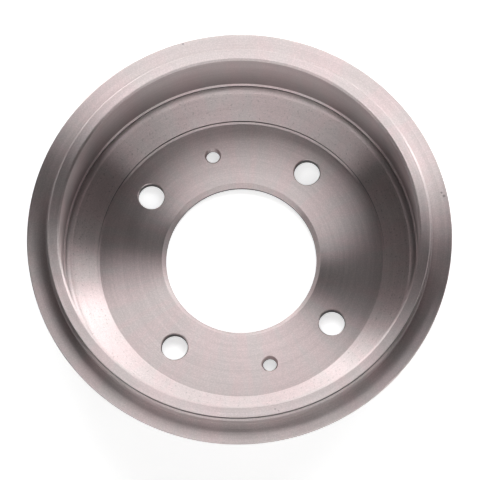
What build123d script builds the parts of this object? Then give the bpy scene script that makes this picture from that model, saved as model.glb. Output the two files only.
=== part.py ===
"""Brake drum, cast in one piece and then bored, faced and drilled.

Lengths are in millimetres and angles in degrees. The drum lies mouth up on
its wheel seat. The origin is the centre of that seat, and +Z is the drum's
axis, pointing from the seat towards the mouth.
"""

import os
from math import atan2, degrees, radians, tan

from build123d import *

os.makedirs("parts", exist_ok=True)

# Friction track: the bore that the shoes press on.
track_diameter = 180.0
track_depth = 39.4
mouth_chamfer = 1.1

# Lip: the flat ring round the mouth, with a turned land on its outside.
lip_width = 4.8
lip_chamfer = 0.3
land_height = 2.7
land_ledge = 0.6

# Labyrinth flange: it runs in a groove of the backing plate. It stands out
# from the land by its overhang.
flange_overhang = 10.3
flange_setback = 9.0
flange_rim = 3.2
flange_fillet = 5.5
flange_chamfer = 0.4
flange_draft = 8.0
flange_root_bevel = 2.5

# Barrel: the cast wall outside the track.
barrel_wall = 7.4
barrel_draft = 1.5
barrel_round = 8.0

# Shoulder: the relief between the track and the cone.
shoulder_ledge = 1.3
shoulder_depth = 2.8
shoulder_width = 3.1
shoulder_bevel = 2.5

# Web: a cone down to a flat disc, faced on both sides. The hub seat reaches
# a margin beyond the stud holes, and the wheel seat a little further.
drum_depth = 51.0
web_thickness = 5.5
hub_seat_margin = 8.7
hub_seat_step = 1.4
hub_seat_bevel = 0.8
wheel_seat_margin = 0.5
wheel_seat_step = 0.8

# Centre bore, which pilots the drum on its hub.
bore_diameter = 76.8
bore_chamfer = 2.2
bore_back_chamfer = 1.5

# Wheel-stud holes.
stud_count = 4
stud_circle = 114.3
stud_hole = 13.3
stud_chamfer = 0.45
stud_back_chamfer = 1.0
stud_angle = 45.0

# Jack-screw holes, at the tapping size of M8 x 1, on the stud circle.
jack_count = 2
jack_hole = 7.0
jack_countersink = 0.7
jack_angle = 51.0  # round from the first stud hole

# Levels above the wheel seat.
mouth_z = web_thickness + drum_depth
land_z = mouth_z - land_height
flange_z = mouth_z - flange_setback
flange_back_z = flange_z - flange_rim
ledge_z = mouth_z - track_depth
shoulder_z = ledge_z - shoulder_depth
cone_foot_z = web_thickness + hub_seat_step

# Radii.
track_radius = track_diameter / 2
lip_radius = track_radius + mouth_chamfer + lip_width
land_radius = lip_radius + land_ledge
flange_radius = land_radius + flange_overhang
barrel_radius = track_radius + barrel_wall
relief_radius = track_radius - shoulder_ledge
cone_radius = relief_radius - shoulder_width
hub_seat_radius = (stud_circle + stud_hole) / 2 + hub_seat_margin
wheel_seat_radius = hub_seat_radius + wheel_seat_margin
bore_radius = bore_diameter / 2

# The outside of the web is parallel to the cone inside it, and it runs up
# from the wheel seat until it meets the drafted barrel.
cone_slope = (shoulder_z - cone_foot_z) / (cone_radius - hub_seat_radius)
barrel_slope = tan(radians(barrel_draft))
flange_root_z = flange_back_z - (flange_radius - barrel_radius) * tan(radians(flange_draft))
corner_radius = (
    barrel_radius
    - barrel_slope * (flange_root_z - wheel_seat_step + cone_slope * wheel_seat_radius)
) / (1 - barrel_slope * cone_slope)
corner_z = wheel_seat_step + (corner_radius - wheel_seat_radius) * cone_slope

# Corners of the half section, as (radius, height), from the bore round the
# outside to the mouth and back down the inside.
section_corners = [
    (bore_radius, 0),
    (wheel_seat_radius, 0),
    (wheel_seat_radius, wheel_seat_step),
    (corner_radius, corner_z),
    (barrel_radius, flange_root_z),
    (flange_radius, flange_back_z),
    (flange_radius, flange_z),
    (land_radius, flange_z),
    (land_radius, land_z),
    (lip_radius, land_z),
    (lip_radius, mouth_z),
    (track_radius, mouth_z),
    (track_radius, ledge_z),
    (relief_radius, ledge_z),
    (relief_radius, shoulder_z),
    (cone_radius, shoulder_z),
    (hub_seat_radius, cone_foot_z),
    (hub_seat_radius, web_thickness),
    (bore_radius, web_thickness),
]

rounded_corners = [
    ((corner_radius, corner_z), barrel_round),
    ((land_radius, flange_z), flange_fillet),
]

bevelled_corners = [
    ((bore_radius, 0), bore_back_chamfer),
    ((barrel_radius, flange_root_z), flange_root_bevel),
    ((flange_radius, flange_back_z), flange_chamfer),
    ((flange_radius, flange_z), flange_chamfer),
    ((lip_radius, mouth_z), lip_chamfer),
    ((track_radius, mouth_z), mouth_chamfer),
    ((relief_radius, shoulder_z), shoulder_bevel),
    ((hub_seat_radius, web_thickness), hub_seat_bevel),
    ((bore_radius, web_thickness), bore_chamfer),
]

with BuildPart() as brake_drum:
    # Turned and cast form: the half section revolved about the axis.
    with BuildSketch(Plane.XZ) as section:
        with BuildLine():
            Polyline(*section_corners, close=True)
        make_face()
        for corner, radius in rounded_corners:
            fillet(section.vertices().sort_by_distance(corner)[0], radius)
        for corner, length in bevelled_corners:
            chamfer(section.vertices().sort_by_distance(corner)[0], length)
    revolve(axis=Axis.Z)

    # Stud holes, with their edges broken on both faces of the web.
    with PolarLocations(stud_circle / 2, stud_count, start_angle=stud_angle):
        Hole(stud_hole / 2)
    stud_edges = brake_drum.edges(Select.LAST).filter_by(GeomType.CIRCLE).group_by(Axis.Z)
    chamfer(stud_edges[-1], stud_chamfer)
    chamfer(stud_edges[0], stud_back_chamfer)

    # Jack-screw holes, countersunk on both faces of the web.
    with PolarLocations(stud_circle / 2, jack_count, start_angle=stud_angle + jack_angle):
        Hole(jack_hole / 2)
    jack_edges = brake_drum.edges(Select.LAST).filter_by(GeomType.CIRCLE)
    chamfer(jack_edges, jack_countersink)

brake_drum.part.label = "brake_drum"
export_step(brake_drum.part, "parts/brake_drum.step")

cone_angle = degrees(atan2(shoulder_z - cone_foot_z, cone_radius - hub_seat_radius))
print(f"brake_drum: {mouth_z:.1f} mm high, cone {cone_angle:.1f} degrees")
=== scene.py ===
"""A turned brake drum lying mouth up, with its machined and cast finishes and its stage."""

import math

import bpy
import numpy as np
from bpy.props import FloatProperty, FloatVectorProperty, PointerProperty
from mathutils import Matrix, Vector


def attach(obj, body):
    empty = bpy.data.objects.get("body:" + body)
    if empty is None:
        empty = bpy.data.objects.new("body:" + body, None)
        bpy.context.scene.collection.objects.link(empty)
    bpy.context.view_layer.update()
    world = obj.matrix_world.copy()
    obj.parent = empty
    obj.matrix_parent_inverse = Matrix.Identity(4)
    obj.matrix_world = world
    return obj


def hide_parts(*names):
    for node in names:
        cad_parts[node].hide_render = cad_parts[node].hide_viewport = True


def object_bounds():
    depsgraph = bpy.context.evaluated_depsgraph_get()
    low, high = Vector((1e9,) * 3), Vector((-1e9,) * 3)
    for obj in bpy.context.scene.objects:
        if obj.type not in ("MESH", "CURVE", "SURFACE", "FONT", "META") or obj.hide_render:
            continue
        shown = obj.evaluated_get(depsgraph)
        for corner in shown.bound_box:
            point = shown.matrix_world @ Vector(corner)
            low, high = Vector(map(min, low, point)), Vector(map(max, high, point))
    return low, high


bl_info = {
    "name": "Turned Brake Drum",
    "version": (1, 0, 0),
    "blender": (4, 5, 0),
    "location": "View3D > Sidebar > Brake Drum",
    "description": "Makes the turned and cast surfaces of a brake drum round its packed frame",
    "category": "Add Mesh",
}

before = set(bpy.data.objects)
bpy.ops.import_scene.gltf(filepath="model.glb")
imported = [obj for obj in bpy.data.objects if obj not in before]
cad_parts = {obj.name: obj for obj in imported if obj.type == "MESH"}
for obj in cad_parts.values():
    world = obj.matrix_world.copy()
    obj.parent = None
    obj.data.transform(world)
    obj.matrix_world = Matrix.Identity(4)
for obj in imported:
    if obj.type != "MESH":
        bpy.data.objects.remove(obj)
CAD_LOW, CAD_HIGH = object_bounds()
MM = 0.001

# Sizes are in millimetres, with heights above the wheel seat at z = 0, and angles in degrees.
# The frame gives the flange's radius and the height of the mouth.
FLANGE_RADIUS = CAD_HIGH.x / MM
MOUTH_Z = CAD_HIGH.z / MM

# Mouth, lip and land, outwards from the friction track.
TRACK_RADIUS = 90.0
MOUTH_BEVEL, MOUTH_DROP = 1.1, 0.65
LIP_WIDTH, LIP_BEVEL = 4.8, 0.3
LAND_WIDTH, LAND_SETBACK, LAND_FALL = 1.0, 2.7, 0.5
LIP_RADIUS = TRACK_RADIUS + MOUTH_BEVEL + LIP_WIDTH
LAND_RADIUS = LIP_RADIUS + LAND_WIDTH
LAND_Z = MOUTH_Z - LAND_SETBACK

# Flange and cast barrel, down the outside.
FLANGE_SETBACK, FLANGE_RIM, FLANGE_DRAFT = 9.0, 3.2, 8.0
FLANGE_FRONT_ROUND, FLANGE_BACK_ROUND, FLANGE_ROOT_ROUND = 0.4, 0.5, 4.0
BARREL_WALL, BARREL_ROUND = 7.4, 8.0
BARREL_FOOT_RADIUS, BARREL_FOOT_Z = 96.67, 14.17
FLANGE_Z = MOUTH_Z - FLANGE_SETBACK
FLANGE_BACK_Z = FLANGE_Z - FLANGE_RIM
BARREL_RADIUS = TRACK_RADIUS + BARREL_WALL
FLANGE_ROOT_Z = FLANGE_BACK_Z - (FLANGE_RADIUS - BARREL_RADIUS) * math.tan(math.radians(FLANGE_DRAFT))

# Web, with its bore and the circle that the six holes lie on.
WEB = 5.5
BORE_RADIUS, BORE_BEVEL, BORE_BACK_BEVEL = 38.4, 2.2, 1.5
HOLE_CIRCLE = 114.3 / 2
STUD_HOLE, STUD_BEVEL, STUD_BACK_BEVEL = 13.3 / 2, 0.45, 1.0
JACK_HOLE, JACK_BEVEL = 7.0 / 2, 0.7
THREAD_PITCH, THREAD_RUNOUT, THREAD_MARGIN = 1.0, 0.4, 0.1

# Hub seat and wheel seat, which reach these margins beyond the stud holes.
HUB_MARGIN, HUB_STEP, HUB_BEVEL, HUB_BEVEL_RISE = 9.5, 2.4, 1.0, 0.6
SEAT_MARGIN, SEAT_STEP = 9.2, 0.8
HUB_RADIUS = HOLE_CIRCLE + STUD_HOLE + HUB_MARGIN
SEAT_RADIUS = HOLE_CIRCLE + STUD_HOLE + SEAT_MARGIN
CONE_FOOT_Z = WEB + HUB_STEP

# Shoulder: the ledge at the end of the track, the relief wall, the flat and the bevel to the cone.
TRACK_DEPTH, LEDGE_BEVEL = 38.9, 0.9
SHOULDER_DEPTH, SHOULDER_WIDTH, SHOULDER_BEVEL, SHOULDER_ROUND = 1.5, 1.7, 1.5, 3.6
LEDGE_Z = MOUTH_Z - TRACK_DEPTH
RELIEF_RADIUS = TRACK_RADIUS - LEDGE_BEVEL
SHOULDER_Z = LEDGE_Z - SHOULDER_DEPTH
SHOULDER_RADIUS = RELIEF_RADIUS - SHOULDER_WIDTH
CONE_RADIUS = SHOULDER_RADIUS - SHOULDER_BEVEL

# The holes share the flat of the web between two rings, a margin away from its edges. Each row
# gives a hole's angle and the angles of the two rays that bound its share.
INNER_MARGIN, OUTER_MARGIN, HOLE_MARGIN = 0.2, 0.8, 0.15
WEB_INNER = BORE_RADIUS + BORE_BEVEL + INNER_MARGIN
WEB_OUTER = HUB_RADIUS - HUB_BEVEL - OUTER_MARGIN
STUD_SHARES = ((45, 0, 70), (135, 116, 180), (225, 180, 250), (315, 296, 360))
JACK_SHARES = ((96, 70, 116), (276, 250, 296))

# Fineness of the surfaces: columns round the axis, one for each degree, and steps on an arc.
COLUMNS = 360
FINE, MEDIUM, BROAD = 3, 4, 8
HOLE_EDGE_STEPS = 2
THREAD_ROWS = 40
SIDE_STEPS = 22

# Where the rows across a hole's share lie: 1 at its outline and 0 at the hole.
SHARE_ROWS = (1.0, 0.72, 0.46, 0.26, 0.12, 0.04)

# Small marks in the finish: the centre of each and its radius.
FINISH_MARKS = (
    ((-12.8, 105.1, FLANGE_Z), 0.7),
    ((104.8, 4.5, FLANGE_Z), 0.9),
    ((103.9, 6.4, FLANGE_Z), 0.7),
    ((3.8, -93.3, MOUTH_Z), 0.5),
    ((5.4, -94.4, MOUTH_Z), 0.4),
)

# Painted shade on the walls and on faces that look down: their tones, as shares of the tone that the iron
# has where it faces up: the foot and the head of the track, how much is taken off below the ledge, and the
# outer wall of the lip.
TRACK_TONES = (0.46, 0.79)
RELIEF_SHADE = 0.38
LIP_TONE = 0.12

# The stage, in metres and degrees, with the lens and its sensor in millimetres.
FLOOR_HALF, FLOOR_GAP = 6.0, 0.1 * MM
LAMP_DISTANCE, LAMP_TARGET = 1.5, Vector((0.0, 0.0, 0.03))
CAMERA_AZIMUTH, CAMERA_ELEVATION, CAMERA_ROLL = -94.15, 73.7, 4.77
CAMERA_SENSOR, CAMERA_LENS = 36.0, 337.5
CAMERA_SHIFT = (0.00246, -0.0184)
CAMERA_RANGE = (0.05, 100.0)


# ---------------------------------------------------------------- surfaces


def rounded_path(start, corners, end):
    """A path in a plane that runs straight from corner to corner and turns round each on an arc.

    Each corner is (x, y, arc radius, steps). The arc of radius a touches both
    straight runs, at a * tan(half the turn) from the corner. Its points are
    centre + side * a * normal, where the normal, which points to the right of
    the path, turns evenly from one run's to the next's, and side is 1 where
    the path turns left and -1 where it turns right. Returns points and normals.
    """
    ends = np.array([start, *[c[:2] for c in corners], end], dtype=float)
    runs = np.diff(ends, axis=0)
    runs /= np.linalg.norm(runs, axis=1)[:, None]
    rights = np.stack([runs[:, 1], -runs[:, 0]], axis=1)
    points, normals = [ends[:1]], [rights[:1]]
    for index, (_x, _y, arc, steps) in enumerate(corners):
        before, after = runs[index], runs[index + 1]
        turn = math.atan2(before[0] * after[1] - before[1] * after[0], before @ after)
        side = math.copysign(1.0, turn)
        touch = ends[index + 1] - before * arc * math.tan(abs(turn) / 2)
        centre = touch - side * arc * rights[index]
        angle = np.linspace(0.0, turn, steps + 1)
        cos, sin = np.cos(angle), np.sin(angle)
        right = rights[index]
        normal = np.stack([cos * right[0] - sin * right[1], sin * right[0] + cos * right[1]], axis=1)
        points.append(centre + side * arc * normal)
        normals.append(normal)
    points.append(ends[-1:])
    normals.append(rights[-1:])
    return np.concatenate(points), np.concatenate(normals)


def turned(path, normal, segments):
    """The path (radius, height) turned about the Z axis.

    The point for angle a and step s is (radius(s) cos a, radius(s) sin a,
    height(s)), and its normal turns the same way. Rows follow the path.
    """
    angle = np.linspace(0.0, 2 * math.pi, segments, endpoint=False)
    cos, sin = np.cos(angle), np.sin(angle)
    points = np.stack([np.outer(path[:, 0], cos), np.outer(path[:, 0], sin),
                       np.repeat(path[:, 1:], segments, axis=1)], axis=2)
    normals = np.stack([np.outer(normal[:, 0], cos), np.outer(normal[:, 0], sin),
                        np.repeat(normal[:, 1:], segments, axis=1)], axis=2)
    return points, normals


def share_outline(first, last):
    """The outline of one hole's share of the web, a ring sector, counter-clockwise.

    It runs along the outer ring a degree at a time, in along the last ray,
    back along the inner ring and out along the first ray.
    """
    degrees = np.radians(np.arange(first, last + 1, dtype=float))
    out = np.linspace(WEB_INNER, WEB_OUTER, SIDE_STEPS + 2)[1:-1]
    radius = np.concatenate([np.full(len(degrees), WEB_OUTER), out[::-1],
                             np.full(len(degrees), WEB_INNER), out])
    angle = np.concatenate([degrees, np.full(SIDE_STEPS, degrees[-1]),
                            degrees[::-1], np.full(SIDE_STEPS, degrees[0])])
    return np.stack([radius * np.cos(angle), radius * np.sin(angle)], axis=1)


def holed_share(degrees, first, last, path, normal, thread):
    """One hole and its share of both faces of the web, as a single grid.

    Column c looks from the hole's centre towards point c of the outline. Down
    a column the rows cross the upper face from the outline to the hole, follow
    the path (radius from the hole's axis, height) through it, and cross the
    lower face back to the outline. A thread adds depth * (1 - cos) / 2 to the
    radius, of the angle 2 pi height / pitch less the column's own angle, and
    fades out at both ends of the straight wall.
    """
    centre = HOLE_CIRCLE * np.array([math.cos(math.radians(degrees)), math.sin(math.radians(degrees))])
    outline = share_outline(first, last)
    ray = outline - centre
    ray /= np.linalg.norm(ray, axis=1)[:, None]
    radius = np.repeat(path[:, :1], len(ray), axis=1)
    height = np.repeat(path[:, 1:], len(ray), axis=1)
    slope = np.zeros_like(radius)
    if thread:
        around = np.arctan2(ray[:, 1], ray[:, 0])[None, :]
        phase = 2 * math.pi * height / THREAD_PITCH - around
        low = JACK_BEVEL + THREAD_MARGIN
        rise = np.clip((height - low) / THREAD_RUNOUT, 0, 1)
        fade = rise * np.clip((WEB - low - height) / THREAD_RUNOUT, 0, 1)
        radius = radius + thread * fade * (0.5 - 0.5 * np.cos(phase))
        slope = thread * fade * math.pi / THREAD_PITCH * np.sin(phase)
    wall = centre + radius[:, :, None] * ray[None]
    wall = np.concatenate([wall, height[:, :, None]], axis=2)
    across = normal[:, :1] * np.ones_like(radius)
    wall_normal = np.concatenate([across[:, :, None] * ray[None],
                                  (normal[:, 1:] - across * slope)[:, :, None]], axis=2)
    reach = np.array(SHARE_ROWS)[:, None, None]
    edge, back = wall[0, :, :2], wall[-1, :, :2]
    upper = edge + reach * (outline - edge)
    lower = back + reach[::-1] * (outline - back)
    flat = np.zeros((len(SHARE_ROWS), len(ray), 1))
    points = np.concatenate([np.concatenate([upper, flat + WEB], axis=2), wall,
                             np.concatenate([lower, flat], axis=2)])
    up = np.tile(np.array([0.0, 0.0, 1.0]), (len(SHARE_ROWS), len(ray), 1))
    return points, np.concatenate([up, wall_normal, -up])


def band_faces(rows, columns):
    """Faces between the rows of a grid that closes on itself from its last column to its first."""
    row, column = np.meshgrid(np.arange(rows - 1), np.arange(columns), indexing="ij")
    after = (column + 1) % columns
    quads = [row * columns + column, row * columns + after,
             (row + 1) * columns + after, (row + 1) * columns + column]
    return np.stack(quads, axis=2).reshape(-1, 4)


def drum_section(edge):
    """The rim's path from the wheel seat round the outside and the mouth to the hub seat.

    Its corners are joined by straight runs, and each has an arc: edge where the
    tool leaves a plain broken edge, and a named radius elsewhere.
    """
    corners = [
        (SEAT_RADIUS, 0.0, edge, FINE),
        (SEAT_RADIUS, SEAT_STEP, edge, FINE),
        (BARREL_FOOT_RADIUS, BARREL_FOOT_Z, BARREL_ROUND, BROAD),
        (BARREL_RADIUS, FLANGE_ROOT_Z, FLANGE_ROOT_ROUND, BROAD),
        (FLANGE_RADIUS, FLANGE_BACK_Z, FLANGE_BACK_ROUND, MEDIUM),
        (FLANGE_RADIUS, FLANGE_Z, FLANGE_FRONT_ROUND, MEDIUM),
        (LAND_RADIUS, FLANGE_Z, edge, FINE),
        (LAND_RADIUS, LAND_Z - LAND_FALL, edge, FINE),
        (LIP_RADIUS, LAND_Z, edge, FINE),
        (LIP_RADIUS, MOUTH_Z - LIP_BEVEL, edge, FINE),
        (LIP_RADIUS - LIP_BEVEL, MOUTH_Z, edge, FINE),
        (TRACK_RADIUS + MOUTH_BEVEL, MOUTH_Z, edge, FINE),
        (TRACK_RADIUS, MOUTH_Z - MOUTH_DROP, edge, FINE),
        (TRACK_RADIUS, LEDGE_Z + LEDGE_BEVEL, edge, FINE),
        (RELIEF_RADIUS, LEDGE_Z, edge, FINE),
        (RELIEF_RADIUS, SHOULDER_Z, edge / 2, FINE),
        (SHOULDER_RADIUS, SHOULDER_Z, SHOULDER_ROUND, BROAD),
        (CONE_RADIUS, SHOULDER_Z - SHOULDER_BEVEL, edge, FINE),
        (HUB_RADIUS, CONE_FOOT_Z, edge, FINE),
        (HUB_RADIUS, WEB + HUB_BEVEL_RISE, edge, FINE),
        (HUB_RADIUS - HUB_BEVEL, WEB, edge, FINE),
    ]
    return rounded_path((WEB_OUTER, 0.0), corners, (WEB_OUTER, WEB))


def bore_section(edge):
    """The bore's path from the hub seat down through its bevels to the wheel seat."""
    corners = [
        (BORE_RADIUS + BORE_BEVEL, WEB, edge, FINE),
        (BORE_RADIUS, WEB - BORE_BEVEL, edge, FINE),
        (BORE_RADIUS, BORE_BACK_BEVEL, edge, FINE),
        (BORE_RADIUS + BORE_BACK_BEVEL, 0.0, edge, FINE),
    ]
    return rounded_path((WEB_INNER, WEB), corners, (WEB_INNER, 0.0))


def hole_section(radius, bevel, back_bevel, edge, rows):
    """A hole's path from the upper face down its bevelled wall, with more rows on the straight."""
    corners = [
        (radius + bevel, WEB, edge, HOLE_EDGE_STEPS),
        (radius, WEB - bevel, edge, HOLE_EDGE_STEPS),
        (radius, back_bevel, edge, HOLE_EDGE_STEPS),
        (radius + back_bevel, 0.0, edge, HOLE_EDGE_STEPS),
    ]
    path, normal = rounded_path((radius + bevel + HOLE_MARGIN, WEB), corners,
                                (radius + back_bevel + HOLE_MARGIN, 0.0))
    if rows:
        half = len(path) // 2
        heights = np.linspace(path[half - 1, 1], path[half, 1], rows + 2)[1:-1]
        straight = np.stack([np.full(rows, radius), heights], axis=1)
        inward = np.tile([-1.0, 0.0], (rows, 1))
        path = np.concatenate([path[:half], straight, path[half:]])
        normal = np.concatenate([normal[:half], inward, normal[half:]])
    return path, normal


def cast_bands(path):
    """Which bands of the drum's section keep their cast skin: the barrel and the back of the flange.

    They lie before the path's widest point, outside the wheel seat and between
    its step and the flange's rim.
    """
    radius, height = (path[:-1] + path[1:]).T / 2
    outside = np.arange(len(radius)) < np.argmax(path[:, 0])
    return outside & (radius > SEAT_RADIUS) & (height > SEAT_STEP) & (height < FLANGE_BACK_Z)


def weld(parts):
    """Joins grids of (points, normals, cast bands) into one closed surface.

    Points that round to the same 0.00001 mm become one vertex, and the faces
    are numbered again to match.
    """
    points, normals, faces, cast, offset = [], [], [], [], 0
    for grid, normal, bands in parts:
        rows, columns = grid.shape[:2]
        points.append(grid.reshape(-1, 3))
        normals.append(normal.reshape(-1, 3))
        faces.append(band_faces(rows, columns) + offset)
        cast.append(np.repeat(bands, columns))
        offset += rows * columns
    points, normals = np.concatenate(points), np.concatenate(normals)
    faces, cast = np.concatenate(faces), np.concatenate(cast)
    _keys, first, where = np.unique(np.round(points, 5) + 0.0, axis=0,
                                    return_index=True, return_inverse=True)
    return points[first], normals[first], where.reshape(-1)[faces], cast


def mesh_object(name, points, normals, faces, slots, materials):
    """A mesh object with one smooth normal for each vertex and a material slot for each face."""
    mesh = bpy.data.meshes.new(name)
    mesh.vertices.add(len(points))
    mesh.vertices.foreach_set("co", (points * MM).ravel())
    mesh.loops.add(faces.size)
    mesh.loops.foreach_set("vertex_index", faces.ravel())
    mesh.polygons.add(len(faces))
    mesh.polygons.foreach_set("loop_start", np.arange(0, faces.size, 4))
    for material in materials:
        mesh.materials.append(material)
    mesh.polygons.foreach_set("material_index", slots.astype(np.int32))
    mesh.update(calc_edges=True)
    mesh.validate()
    mesh.shade_smooth()
    unit = normals / np.linalg.norm(normals, axis=1)[:, None]
    mesh.normals_split_custom_set_from_vertices(unit.tolist())
    made = bpy.data.objects.new(name, mesh)
    bpy.context.scene.collection.objects.link(made)
    return made


# ---------------------------------------------------------------- materials


class Term:
    """A shader socket that can be used in an expression: + - * / and ** add Math nodes."""

    def __init__(self, graph, socket):
        self.graph, self.socket = graph, socket

    def _math(self, operation, first, second):
        return self.graph.add("ShaderNodeMath", {"operation": operation}, {0: first, 1: second})

    def __add__(self, other):
        return self._math("ADD", self, other)

    def __radd__(self, other):
        return self._math("ADD", other, self)

    def __sub__(self, other):
        return self._math("SUBTRACT", self, other)

    def __rsub__(self, other):
        return self._math("SUBTRACT", other, self)

    def __mul__(self, other):
        return self._math("MULTIPLY", self, other)

    def __rmul__(self, other):
        return self._math("MULTIPLY", other, self)

    def __truediv__(self, other):
        return self._math("DIVIDE", self, other)

    def __rtruediv__(self, other):
        return self._math("DIVIDE", other, self)

    def __pow__(self, other):
        return self._math("POWER", self, other)

    def __rpow__(self, other):
        return self._math("POWER", other, self)


class Graph:
    """The node tree of a material or of the room, built by add()."""

    def __init__(self, tree):
        self.tree = tree
        tree.nodes.clear()

    def add(self, kind, settings=None, sockets=None, output=0):
        """Adds a node, sets its settings, then its sockets' values or links, and gives one output."""
        node = self.tree.nodes.new(kind)
        for key, value in (settings or {}).items():
            setattr(node, key, value)
        for key, value in (sockets or {}).items():
            if isinstance(value, Term):
                self.tree.links.new(value.socket, node.inputs[key])
            else:
                node.inputs[key].default_value = value
        return Term(self, node.outputs[output]) if len(node.outputs) else node

    def mix(self, factor, first, second, blend="MIX"):
        """A colour between two others. Sockets 6 and 7 of a Mix node take colours, and 2 gives one."""
        return self.add("ShaderNodeMix", {"data_type": "RGBA", "blend_type": blend},
                        {0: factor, 6: first, 7: second}, output=2)

    def shade(self, colour, tone):
        """A colour made lighter or darker by a tone."""
        grey = self.add("ShaderNodeCombineColor", None, {"Red": tone, "Green": tone, "Blue": tone})
        return self.mix(1.0, colour, grey, "MULTIPLY")

    def vector(self, x, y, z):
        """A vector from its three parts."""
        return self.add("ShaderNodeCombineXYZ", None, {"X": x, "Y": y, "Z": z})

    def part(self, vector, axis):
        """One part of a vector, by the name of its axis."""
        return self.add("ShaderNodeSeparateXYZ", None, {"Vector": vector}, output=axis)

    def remap(self, value, low, high, to_low=0.0, to_high=1.0):
        """Value moved smoothly from one range to another and kept inside it."""
        return self.add("ShaderNodeMapRange", {"interpolation_type": "SMOOTHSTEP"},
                        {0: value, 1: low, 2: high, 3: to_low, 4: to_high})

    def noise(self, vector, scale, detail=2.0, rough=0.5):
        """Soft noise from 0 to 1."""
        return self.add("ShaderNodeTexNoise", None,
                        {"Vector": vector, "Scale": scale, "Detail": detail, "Roughness": rough})

    def bump(self, height, strength, distance):
        """A normal that follows a height."""
        return self.add("ShaderNodeBump", None,
                        {"Strength": strength, "Distance": distance, "Height": height})


WHITE = (1.0, 1.0, 1.0, 1.0)


def rgba(colour):
    """A colour property as the four numbers that a socket takes."""
    return (*colour, 1.0)


def turned_coordinates(graph, place):
    """Where a place lies on a turned surface: its radius and height in millimetres, and the way round."""
    x, y, z = (graph.part(place, axis) / MM for axis in "XYZ")
    radius = (x * x + y * y) ** 0.5
    return radius, z, x / radius, y / radius


def painted_wall_shade(graph, radius, height):
    """The tone of a turned surface: 1 where it faces up, and less on walls and where it faces down.

    What it loses is shade painted into the colour, by radius and height, for
    this stage's light. It isn't a difference in the iron.
    """
    lip_ring, lip_levels = (LIP_RADIUS - 2.4, LIP_RADIUS - 0.4), (LAND_Z - 0.6, LAND_Z + 0.2)
    track_levels, relief_levels = (LEDGE_Z + 0.4, MOUTH_Z - 2.5), (LEDGE_Z + 1.4, LEDGE_Z - 0.6)
    normal = graph.add("ShaderNodeTexCoord", output="Normal")
    upright = graph.remap(graph.part(normal, "Z"), 0.4, 0.05)
    on_lip = graph.remap(radius, *lip_ring) * graph.remap(height, *lip_levels)
    on_track = (graph.remap(height, *track_levels, *TRACK_TONES)
                - graph.remap(height, *relief_levels, 0.0, RELIEF_SHADE))
    kept = on_track * (1.0 - on_lip) + LIP_TONE * on_lip
    return 1.0 - upright * (1.0 - kept)


def cone_pits(graph, place, radius):
    """1 in each small pit of the casting that the cone's cut leaves open, and 0 elsewhere."""
    foot, head = (HUB_RADIUS - 0.3, HUB_RADIUS + 1.2), (CONE_RADIUS + 1.3, CONE_RADIUS + 0.1)
    pits = graph.remap(graph.noise(place, scale=900.0, detail=1.0), 0.62, 0.74)
    return pits * graph.remap(radius, *foot) * graph.remap(radius, *head)


def finish_marks(graph, place):
    """1 on each small mark in the finish, with a soft edge, and 0 elsewhere."""
    marks = []
    for centre, size in FINISH_MARKS:
        away = graph.add("ShaderNodeVectorMath", {"operation": "DISTANCE"},
                         {0: place, 1: [MM * part for part in centre]}, output="Value")
        marks.append(graph.remap(away, size * MM, 0.5 * size * MM))
    return sum(marks)


def turned_iron(finish):
    """Bright turned cast iron, with the tool's rings, fine grain, a warm tint and painted shade on its
    walls and downward faces.
    """
    material = bpy.data.materials.new("turned_iron")
    material.use_nodes = True
    graph = Graph(material.node_tree)
    place = graph.add("ShaderNodeTexCoord", output="Object")
    radius, height, east, north = turned_coordinates(graph, place)
    along = radius + height
    ring_place = graph.vector(along, 0.9 * east, 0.9 * north)
    fan_place = graph.vector(3.0 * east, 3.0 * north, 0.012 * along)
    fine_rings = graph.noise(ring_place, scale=2.6, detail=3.0, rough=0.6)
    broad_rings = graph.noise(ring_place, scale=0.45)
    fan = graph.noise(fan_place, scale=2.2, detail=3.0, rough=0.6)
    grain = graph.noise(place, scale=1500.0, rough=0.6)
    blotch = graph.noise(place, scale=45.0, detail=3.0, rough=0.55)

    bright = 0.955 + (graph.remap(fine_rings, 0.35, 0.65, 0.0, 0.07)
                      + graph.remap(broad_rings, 0.4, 0.6, 0.0, 0.05)
                      + graph.remap(blotch, 0.35, 0.65, 0.0, 0.05))
    # The tone carries painted shade: upright walls and faces that look down are darker in colour.
    tone = (bright * graph.remap(grain, 0.62, 0.45, 1.0, 0.9) * painted_wall_shade(graph, radius, height)
            * (1.0 - 0.25 * cone_pits(graph, place, radius)) * (1.0 - 0.45 * finish_marks(graph, place)))
    tint = graph.mix(graph.remap(fan, 0.38, 0.62), rgba(finish.turned_colour), rgba(finish.turned_shade))
    roughness = (finish.turned_roughness - 0.03 + graph.remap(fine_rings, 0.3, 0.7, 0.0, 0.08)
                 + graph.remap(blotch, 0.3, 0.7, 0.0, 0.05))
    relief = 0.6 * fine_rings + 0.6 * broad_rings + 0.25 * grain
    shader = graph.add("ShaderNodeBsdfPrincipled", None, {
        "Base Color": graph.shade(tint, tone), "Metallic": 0.95, "Roughness": roughness,
        "Normal": graph.bump(relief, strength=0.25, distance=0.06 * MM),
        "Anisotropic": finish.spread, "Anisotropic Rotation": 0.25,
    })
    graph.add("ShaderNodeOutputMaterial", None, {"Surface": shader})
    return material


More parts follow.
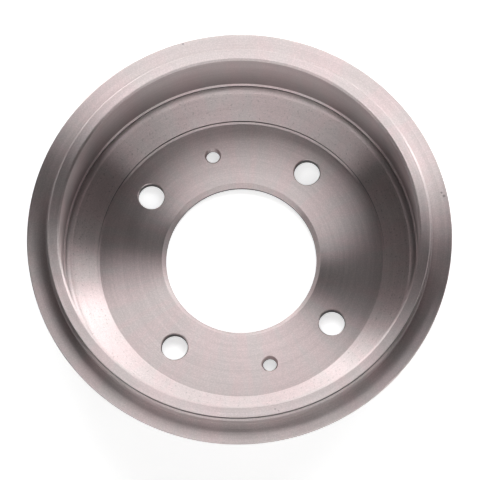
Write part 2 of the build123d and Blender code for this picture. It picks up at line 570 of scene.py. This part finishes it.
def cast_skin(finish):
    """The darker, pebbled skin that the barrel keeps from its mould."""
    material = bpy.data.materials.new("cast_skin")
    material.use_nodes = True
    graph = Graph(material.node_tree)
    place = graph.add("ShaderNodeTexCoord", output="Object")
    pebble = graph.noise(place, scale=420.0, detail=4.0, rough=0.6)
    patch = graph.noise(place, scale=38.0, detail=3.0)
    tone = 0.80 + graph.remap(patch, 0.35, 0.65, 0.0, 0.28) - graph.remap(pebble, 0.6, 0.35, 0.0, 0.22)
    shader = graph.add("ShaderNodeBsdfPrincipled", None, {
        "Base Color": graph.shade(rgba(finish.cast_colour), tone), "Metallic": 0.85,
        "Roughness": graph.remap(pebble, 0.3, 0.7, 0.52, 0.72),
        "Normal": graph.bump(pebble, strength=0.8, distance=0.25 * MM),
    })
    graph.add("ShaderNodeOutputMaterial", None, {"Surface": shader})
    return material


def pale_floor(stage):
    """A matt pale floor that reads as white, with its shadows kept.

    The camera and the metal see it brighter than its lamps make it.
    """
    material = bpy.data.materials.new("pale_floor")
    material.use_nodes = True
    graph = Graph(material.node_tree)
    place = graph.add("ShaderNodeTexCoord", output="Object")
    mottle = graph.noise(place, scale=6.0)
    colour = graph.mix(graph.remap(mottle, 0.3, 0.7), rgba(stage.floor_colour),
                       rgba([0.98 * part for part in stage.floor_colour]))
    matt = graph.add("ShaderNodeBsdfDiffuse", None, {"Color": colour})
    glow = graph.add("ShaderNodeEmission", None, {"Color": WHITE, "Strength": stage.floor_lift})
    lifted = graph.add("ShaderNodeAddShader", None, {0: matt, 1: glow})
    camera, glossy, through = (graph.add("ShaderNodeLightPath", output=ray)
                               for ray in ("Is Camera Ray", "Is Glossy Ray", "Is Transmission Ray"))
    seen = graph.add("ShaderNodeMixShader", None, {0: camera + glossy + through, 1: matt, 2: lifted})
    graph.add("ShaderNodeOutputMaterial", None, {"Surface": seen})
    return material


def dim_room(stage):
    """A room whose walls give little light, and that the camera sees as white."""
    world = bpy.data.worlds.new("room")
    world.use_nodes = True
    graph = Graph(world.node_tree)
    camera = graph.add("ShaderNodeLightPath", output="Is Camera Ray")
    dim = graph.add("ShaderNodeBackground", None, {"Color": WHITE, "Strength": stage.room})
    white = graph.add("ShaderNodeBackground", None, {"Color": WHITE, "Strength": 1.0})
    seen = graph.add("ShaderNodeMixShader", None, {0: camera, 1: dim, 2: white})
    graph.add("ShaderNodeOutputWorld", None, {"Surface": seen})
    return world


# ---------------------------------------------------------------- settings


class DrumShape(bpy.types.PropertyGroup):
    """Small sizes of the finished surfaces."""

    edge_break: FloatProperty(
        name="Edge break", description="Radius left on each turned edge, in millimetres",
        default=0.12, min=0.02, max=0.25)
    thread_depth: FloatProperty(
        name="Thread depth", description="Depth of the jack-screw thread, in millimetres",
        default=0.42, min=0.0, max=0.6)


class DrumFinish(bpy.types.PropertyGroup):
    """Colours and polish of the iron."""

    turned_colour: FloatVectorProperty(
        name="Turned iron", description="Colour of the turned surfaces",
        subtype="COLOR", size=3, min=0, max=1, default=(0.70, 0.586, 0.588))
    turned_shade: FloatVectorProperty(
        name="Turned iron, grey", description="Greyer colour in streaks of the same surfaces",
        subtype="COLOR", size=3, min=0, max=1, default=(0.665, 0.592, 0.588))
    cast_colour: FloatVectorProperty(
        name="Cast skin", description="Colour of the surfaces left as cast",
        subtype="COLOR", size=3, min=0, max=1, default=(0.26, 0.24, 0.235))
    turned_roughness: FloatProperty(
        name="Turned roughness", description="Roughness of the turned surfaces",
        default=0.32, min=0, max=1, subtype="FACTOR")
    spread: FloatProperty(
        name="Highlight spread", description="How far the tool's rings spread a highlight across them",
        default=1.0, min=0, max=1, subtype="FACTOR")


class DrumStage(bpy.types.PropertyGroup):
    """Floor, lamps and camera."""

    floor_colour: FloatVectorProperty(
        name="Floor", description="Colour of the floor",
        subtype="COLOR", size=3, min=0, max=1, default=(0.86, 0.86, 0.86))
    floor_lift: FloatProperty(
        name="Floor lift", description="Light added where the camera or the metal sees the floor",
        default=0.6, min=0, max=1)
    key_power: FloatProperty(
        name="Key lamp", description="Power of the large lamp on the far side",
        default=21.3, min=0, unit="POWER")
    edge_power: FloatProperty(
        name="Edge lamp", description="Power of the strip lamp in front of the key lamp",
        default=1.0, min=0, unit="POWER")
    fill_power: FloatProperty(
        name="Fill lamp", description="Power of the broad lamp on the near side",
        default=14.0, min=0, unit="POWER")
    low_power: FloatProperty(
        name="Low lamp", description="Power of the low lamp on the far left",
        default=1.2, min=0, unit="POWER")
    right_power: FloatProperty(
        name="Right lamp", description="Power of the low lamp on the far right",
        default=0.85, min=0, unit="POWER")
    near_power: FloatProperty(
        name="Near lamp", description="Power of the low strip lamp on the near side",
        default=4.4, min=0, unit="POWER")
    room: FloatProperty(
        name="Room light", description="Strength of the even light from all round",
        default=0.05, min=0, max=2)
    camera_distance: FloatProperty(
        name="Camera distance", description="From the camera to the middle of the mouth",
        default=2.25, min=0.5, unit="LENGTH")


# ---------------------------------------------------------------- operators


class MakeDrum(bpy.types.Operator):
    """Makes the drum's casting: the turned rim, the bore and the holed web as one closed surface"""

    bl_idname = "brake_drum.make_drum"
    bl_label = "Make Drum"

    def execute(self, context):
        shape, finish = context.scene.drum_shape, context.scene.drum_finish
        edge = shape.edge_break
        rim_path, rim_turn = drum_section(edge)
        bore_path, bore_turn = bore_section(edge)
        parts = [(*turned(rim_path, rim_turn, COLUMNS), cast_bands(rim_path)),
                 (*turned(bore_path, bore_turn, COLUMNS), np.zeros(len(bore_path) - 1, dtype=bool))]
        for shares, sizes, thread, rows in (
                (STUD_SHARES, (STUD_HOLE, STUD_BEVEL, STUD_BACK_BEVEL), 0.0, 0),
                (JACK_SHARES, (JACK_HOLE, JACK_BEVEL, JACK_BEVEL), shape.thread_depth, THREAD_ROWS)):
            wall, wall_normal = hole_section(*sizes, edge / 2, rows)
            for share in shares:
                grid, grid_normal = holed_share(*share, wall, wall_normal, thread)
                parts.append((grid, grid_normal, np.zeros(len(grid) - 1, dtype=bool)))
        points, normals, faces, cast = weld(parts)
        drum = mesh_object("drum_casting", points, normals, faces, cast,
                           [turned_iron(finish), cast_skin(finish)])
        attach(drum, "root")
        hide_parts("brake_drum")
        return {"FINISHED"}


def direction(azimuth, elevation):
    """The unit vector a degrees round from +X and e above the floor: (cos a cos e, sin a cos e, sin e)."""
    around, rise = math.radians(azimuth), math.radians(elevation)
    return Vector((math.cos(around) * math.cos(rise), math.sin(around) * math.cos(rise), math.sin(rise)))


def area_lamp(name, azimuth, elevation, width, height, power):
    """A soft rectangular lamp, in that direction from the origin, that looks at the lamps' target."""
    place = direction(azimuth, elevation) * LAMP_DISTANCE
    lamp = bpy.data.lights.new(name, "AREA")
    lamp.shape, lamp.size, lamp.size_y = "RECTANGLE", width, height
    lamp.energy = power
    made = bpy.data.objects.new(name, lamp)
    made.location = place
    made.rotation_euler = (LAMP_TARGET - place).to_track_quat("-Z", "Y").to_euler()
    made.visible_camera = False
    bpy.context.scene.collection.objects.link(made)


def stage_floor(stage):
    """A square floor, a hair below the wheel seat so that the two don't share a plane."""
    half, low = FLOOR_HALF, -FLOOR_GAP
    sheet = bpy.data.meshes.new("floor")
    sheet.from_pydata([(-half, -half, low), (half, -half, low), (half, half, low), (-half, half, low)],
                      [], [(0, 1, 2, 3)])
    sheet.materials.append(pale_floor(stage))
    floor = bpy.data.objects.new("floor", sheet)
    bpy.context.scene.collection.objects.link(floor)


def stage_camera(stage):
    """A long lens that looks down at the middle of the mouth, turned a little about its own line."""
    back = direction(CAMERA_AZIMUTH, CAMERA_ELEVATION)
    up = direction(CAMERA_AZIMUTH, CAMERA_ELEVATION + 90.0)
    right = up.cross(back)
    roll = math.radians(CAMERA_ROLL)
    turned_up = up * math.cos(roll) + right * math.sin(roll)
    turned_right = right * math.cos(roll) - up * math.sin(roll)
    lens = bpy.data.cameras.new("camera")
    lens.sensor_width, lens.lens = CAMERA_SENSOR, CAMERA_LENS
    lens.shift_x, lens.shift_y = CAMERA_SHIFT
    lens.clip_start, lens.clip_end = CAMERA_RANGE
    camera = bpy.data.objects.new("camera", lens)
    place = Vector((0.0, 0.0, MOUTH_Z * MM)) + back * stage.camera_distance
    turn = Matrix((turned_right, turned_up, back)).transposed().to_4x4()
    camera.matrix_world = Matrix.Translation(place) @ turn
    bpy.context.scene.collection.objects.link(camera)
    return camera


class MakeStage(bpy.types.Operator):
    """Makes the floor, the lamps, the room light and the camera"""

    bl_idname = "brake_drum.make_stage"
    bl_label = "Make Stage"

    def execute(self, context):
        scene, stage = context.scene, context.scene.drum_stage
        scene.view_settings.view_transform = "Standard"
        stage_floor(stage)
        for name, azimuth, elevation, width, height, power in (
                ("key_lamp", 69.5, 49.0, 2.0, 0.86, stage.key_power),
                ("edge_lamp", 70.0, 40.0, 2.1, 0.42, stage.edge_power),
                ("fill_lamp", -100.0, 49.0, 3.9, 0.86, stage.fill_power),
                ("low_lamp", 116.0, 24.0, 0.38, 0.42, stage.low_power),
                ("right_lamp", 28.0, 22.0, 0.27, 0.42, stage.right_power),
                ("near_lamp", -102.0, 22.0, 2.4, 0.38, stage.near_power)):
            area_lamp(name, azimuth, elevation, width, height, power)
        scene.world = dim_room(stage)
        scene.camera = stage_camera(stage)
        return {"FINISHED"}


class DrumPanel(bpy.types.Panel):
    """Lists the drum's sizes, colours and operators"""

    bl_idname = "VIEW3D_PT_brake_drum"
    bl_label = "Brake Drum"
    bl_space_type = "VIEW_3D"
    bl_region_type = "UI"
    bl_category = "Brake Drum"

    def draw(self, context):
        for group, operator in (("drum_shape", None), ("drum_finish", MakeDrum), ("drum_stage", MakeStage)):
            settings = getattr(context.scene, group)
            for name in settings.__annotations__:
                self.layout.prop(settings, name)
            if operator:
                self.layout.operator(operator.bl_idname)


CLASSES = (DrumShape, DrumFinish, DrumStage, MakeDrum, MakeStage, DrumPanel)


def register():
    for cls in CLASSES:
        bpy.utils.register_class(cls)
    bpy.types.Scene.drum_shape = PointerProperty(type=DrumShape)
    bpy.types.Scene.drum_finish = PointerProperty(type=DrumFinish)
    bpy.types.Scene.drum_stage = PointerProperty(type=DrumStage)


def unregister():
    del bpy.types.Scene.drum_stage
    del bpy.types.Scene.drum_finish
    del bpy.types.Scene.drum_shape
    for cls in reversed(CLASSES):
        bpy.utils.unregister_class(cls)


def main():
    """Makes the drum and its stage."""
    register()
    bpy.ops.brake_drum.make_drum()
    bpy.ops.brake_drum.make_stage()


if __name__ == "__main__":
    main()
